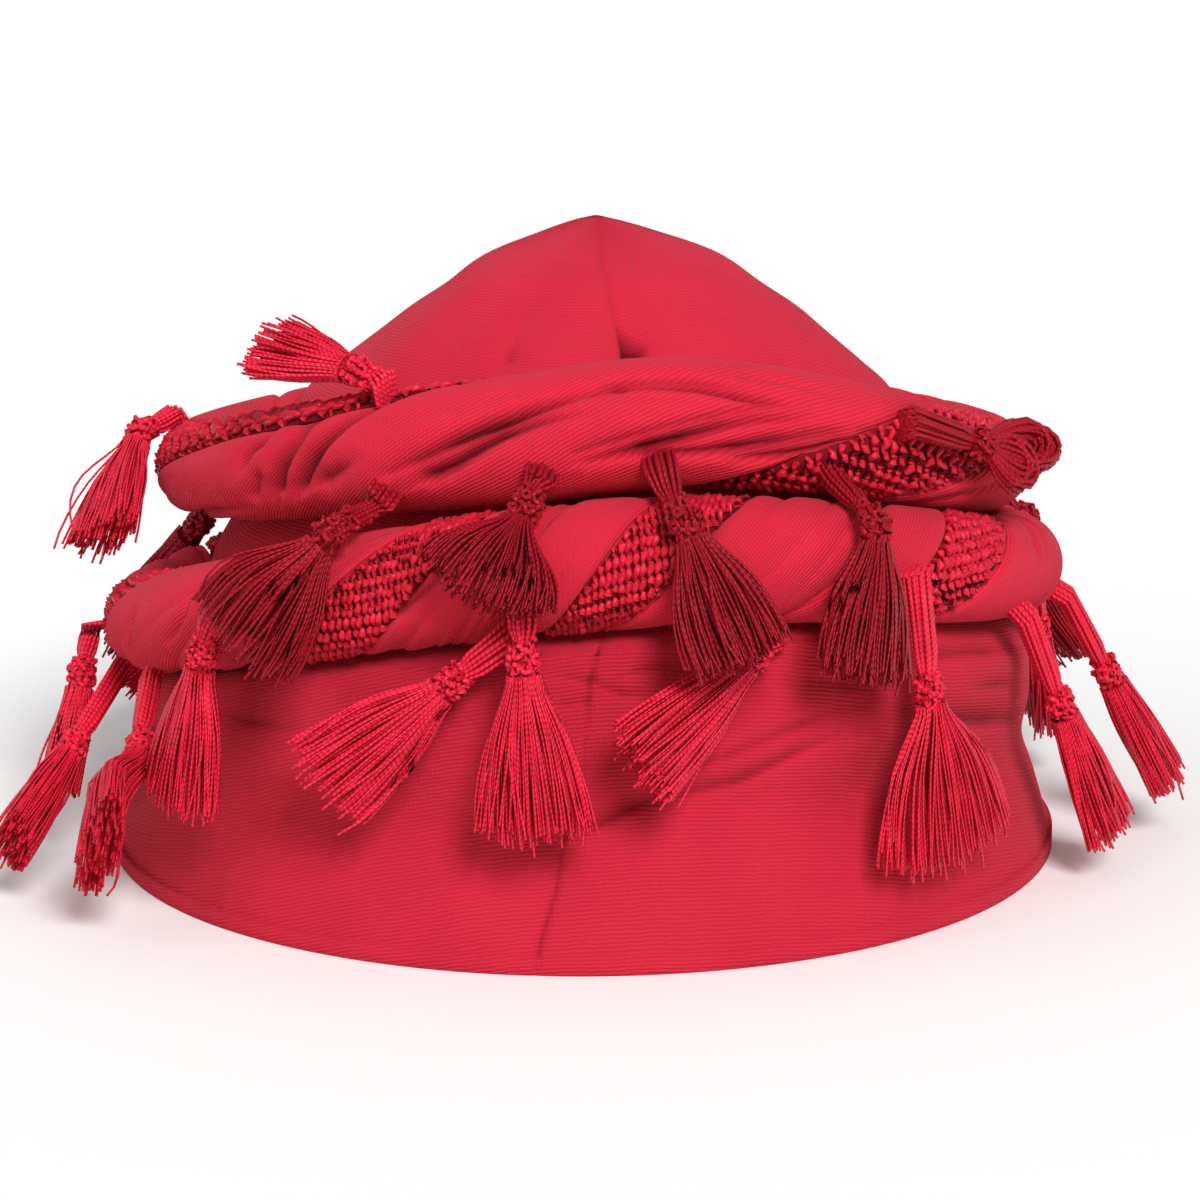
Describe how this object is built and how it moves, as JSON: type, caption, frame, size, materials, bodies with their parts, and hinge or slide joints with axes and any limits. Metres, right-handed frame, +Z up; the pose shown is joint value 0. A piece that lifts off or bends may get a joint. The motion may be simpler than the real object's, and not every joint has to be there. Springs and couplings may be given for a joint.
{
  "type": "tasselled turban durag",
  "caption": "Pre-tied turban durag in red jersey: conical crown, wide head band, two twisted rolls wound with knotted trim, and thread tassels all round.",
  "frame": {"origin": "middle of the head opening, in the plane of the rim that the hat stands on", "axes": "+Z up to the peak, the front faces -Y, +X is the wearer's left"},
  "size_m": [0.2322, 0.225, 0.1265],
  "materials": {
    "jersey_crown": "fine rib jersey, matt",
    "jersey_band": "fine rib jersey, matt",
    "jersey_roll": "fine rib jersey, gathered, matt",
    "knotted_trim": "knotted satin thread",
    "tassel_thread": "twisted satin thread, silky"
  },
  "bodies": {
    "root": {"crown_cap": "jersey_crown", "head_band": "jersey_band", "lower_roll": "jersey_roll", "upper_roll": "jersey_roll", "lower_trim": "knotted_trim", "upper_trim": "knotted_trim", "tassel_01": "tassel_thread", "tassel_02": "tassel_thread", "tassel_03": "tassel_thread", "tassel_04": "tassel_thread", "tassel_05": "tassel_thread", "tassel_06": "tassel_thread", "tassel_07": "tassel_thread", "tassel_08": "tassel_thread", "tassel_09": "tassel_thread", "tassel_10": "tassel_thread", "tassel_11": "tassel_thread", "tassel_12": "tassel_thread", "tassel_13": "tassel_thread", "tassel_14": "tassel_thread", "tassel_15": "tassel_thread", "tassel_16": "tassel_thread", "tassel_17": "tassel_thread", "tassel_18": "tassel_thread", "tassel_19": "tassel_thread", "tassel_20": "tassel_thread", "tassel_21": "tassel_thread", "tassel_22": "tassel_thread", "tassel_23": "tassel_thread", "tassel_24": "tassel_thread", "tassel_25": "tassel_thread", "tassel_26": "tassel_thread", "tassel_27": "tassel_thread"}
  },
  "joints": []
}
